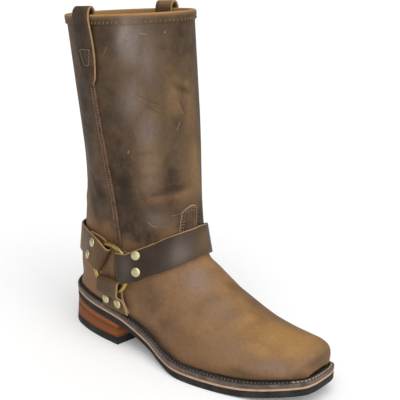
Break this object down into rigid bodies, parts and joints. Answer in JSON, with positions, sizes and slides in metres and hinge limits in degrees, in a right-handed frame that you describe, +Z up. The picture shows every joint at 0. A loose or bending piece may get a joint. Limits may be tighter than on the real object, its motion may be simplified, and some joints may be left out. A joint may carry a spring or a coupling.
{
  "type": "harness boot",
  "caption": "Pull-on leather harness boot for the right foot: hollow shaft and vamp on a welted sole with a stacked heel, straps held by a ring on each side of the ankle.",
  "frame": {"origin": "on the floor, under the middle of the heel", "axes": "+X along the foot towards the toe, +Y towards the inner side of the foot, +Z up the shaft"},
  "size_m": [0.3026, 0.1124, 0.3312],
  "materials": {
    "upper_leather": "oiled, scuffed, soft sheen",
    "strap_leather": "dark, smooth, soft gloss with raw tan edges",
    "strip_leather": "reddish brown, stitched along both edges",
    "raw_leather": "pale tan, undyed, matt",
    "welt_leather": "dark grey-brown, waxed, stitched",
    "heel_leather": "red-brown stacked leather, waxed",
    "sole_rubber": "matt black",
    "brass": "worn brass"
  },
  "bodies": {
    "boot": {"collar_binding": "strap_leather", "counter": "upper_leather", "harness_front_strap": "strap_leather", "harness_lower_strap_inner": "strap_leather", "harness_lower_strap_outer": "strap_leather", "harness_rear_strap": "strap_leather", "heel_cap": "sole_rubber", "heel_stack": "heel_leather", "insole": "raw_leather", "midsole": "raw_leather", "outsole": "sole_rubber", "pull_loop_inner": "strap_leather", "pull_loop_outer": "strap_leather", "rivet_inner_1": "brass", "rivet_inner_2": "brass", "rivet_inner_3": "brass", "rivet_inner_4": "brass", "rivet_inner_5": "brass", "rivet_inner_6": "brass", "rivet_outer_1": "brass", "rivet_outer_2": "brass", "rivet_outer_3": "brass", "rivet_outer_4": "brass", "rivet_outer_5": "brass", "rivet_outer_6": "brass", "side_strip_inner": "strip_leather", "side_strip_outer": "strip_leather", "upper": "upper_leather", "vamp_tab": "upper_leather", "welt": "welt_leather"},
    "ring_outer": {"ring_outer": "brass"},
    "ring_inner": {"ring_inner": "brass"}
  },
  "joints": [
    {"name": "ring_outer_turn", "type": "hinge", "parent": "boot", "child": "ring_outer", "pos_m": [0.03927, -0.04715, 0.08345], "axis": [-0.0313, -0.9975, 0.0626], "continuous": true},
    {"name": "ring_inner_turn", "type": "hinge", "parent": "boot", "child": "ring_inner", "pos_m": [0.03991, 0.04463, 0.08234], "axis": [0.0564, 0.9942, -0.0914], "continuous": true}
  ]
}
